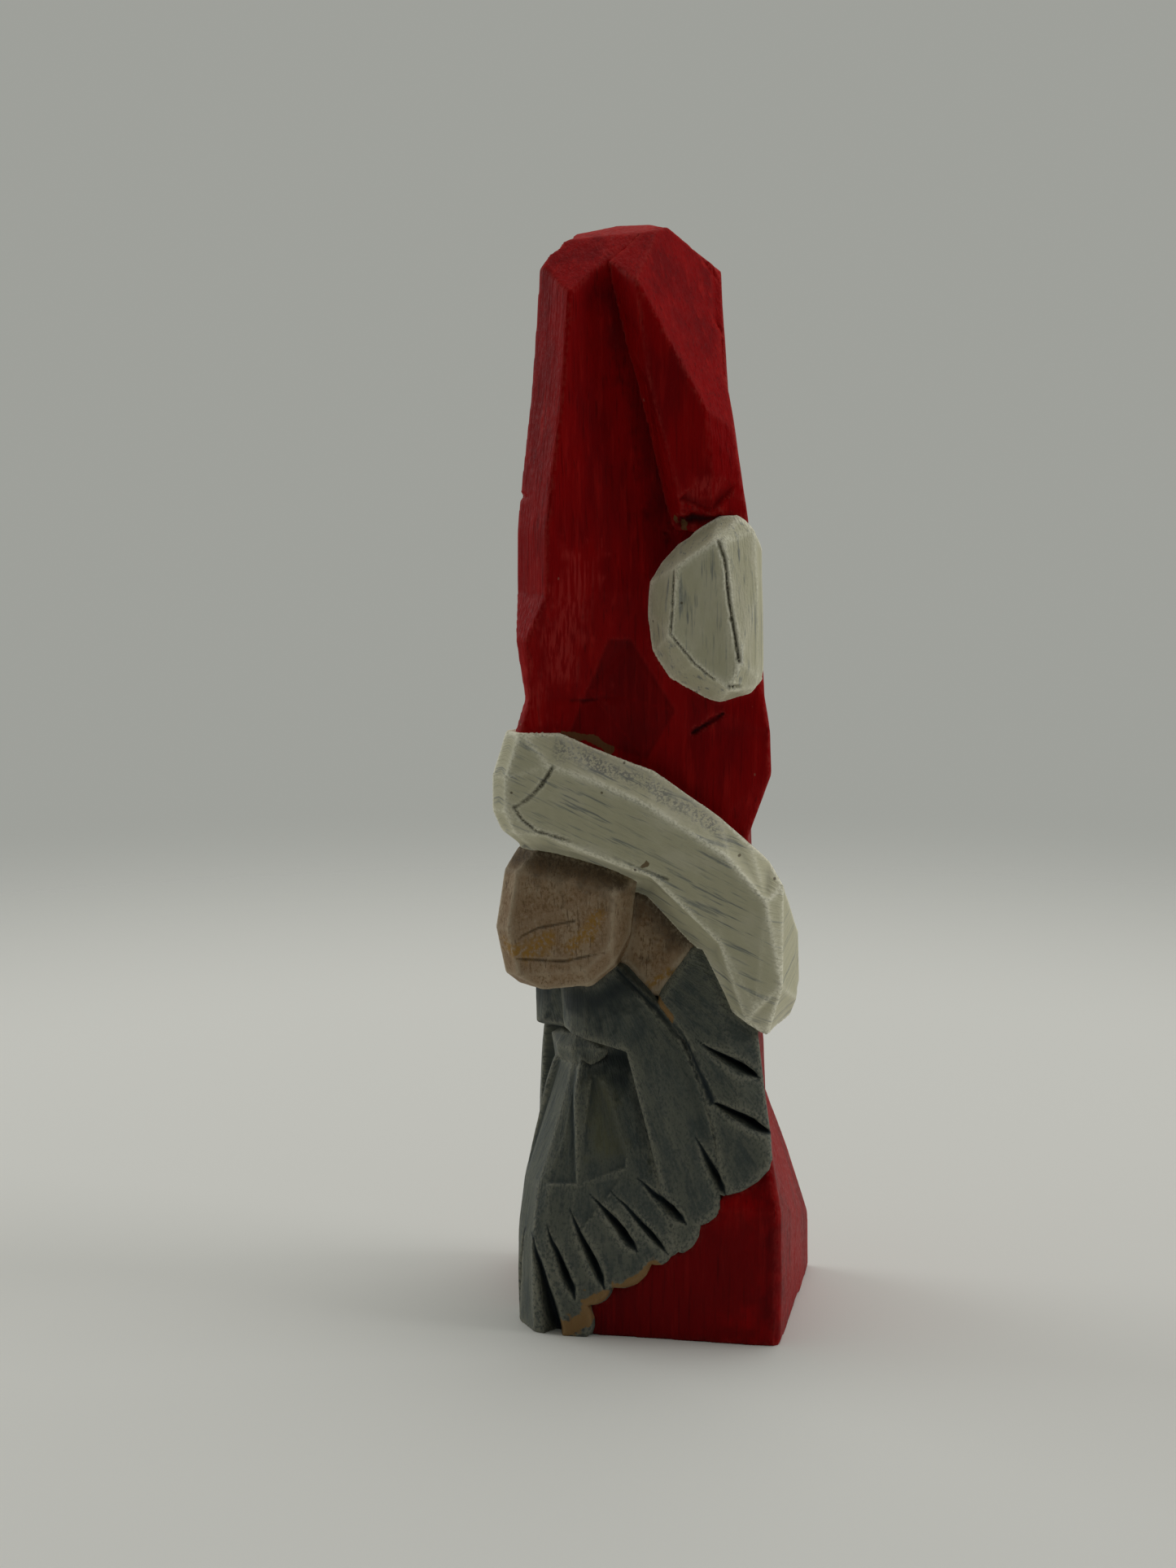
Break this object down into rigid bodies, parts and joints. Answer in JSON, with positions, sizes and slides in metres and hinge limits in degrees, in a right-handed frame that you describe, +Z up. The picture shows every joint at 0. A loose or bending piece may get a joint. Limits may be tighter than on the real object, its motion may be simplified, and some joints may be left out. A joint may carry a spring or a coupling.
{
  "type": "carved tomte gnome figurine",
  "caption": "Standing gnome figurine carved in flat planes from one block, with a tall folded hat, fur brim, big nose and long beard.",
  "frame": {"origin": "middle of the flat base, on the surface the figurine stands on", "axes": "+Z up through the hat's tip; the nose points along -Y; the figure's own left side is +X"},
  "size_m": [0.0359, 0.0364, 0.1016],
  "materials": {
    "red_paint": "thin crimson acrylic over carved basswood, semi-matte",
    "cream_paint": "dry-brushed cream acrylic over a grey wash, matte",
    "skin_stain": "thin pinkish-beige stain over bare basswood, matte",
    "grey_paint": "thin grey acrylic with dark wash in the cuts, matte"
  },
  "bodies": {
    "root": {"robe_body": "red_paint", "beard": "grey_paint", "lower_lip": "grey_paint", "moustache_left": "grey_paint", "moustache_right": "grey_paint", "hair_left": "grey_paint", "hair_right": "grey_paint", "cheek_left": "skin_stain", "cheek_right": "skin_stain", "nose": "skin_stain", "hat_brim": "cream_paint", "hat_cone": "red_paint", "hat_tail": "red_paint", "pompom": "cream_paint"}
  },
  "joints": []
}
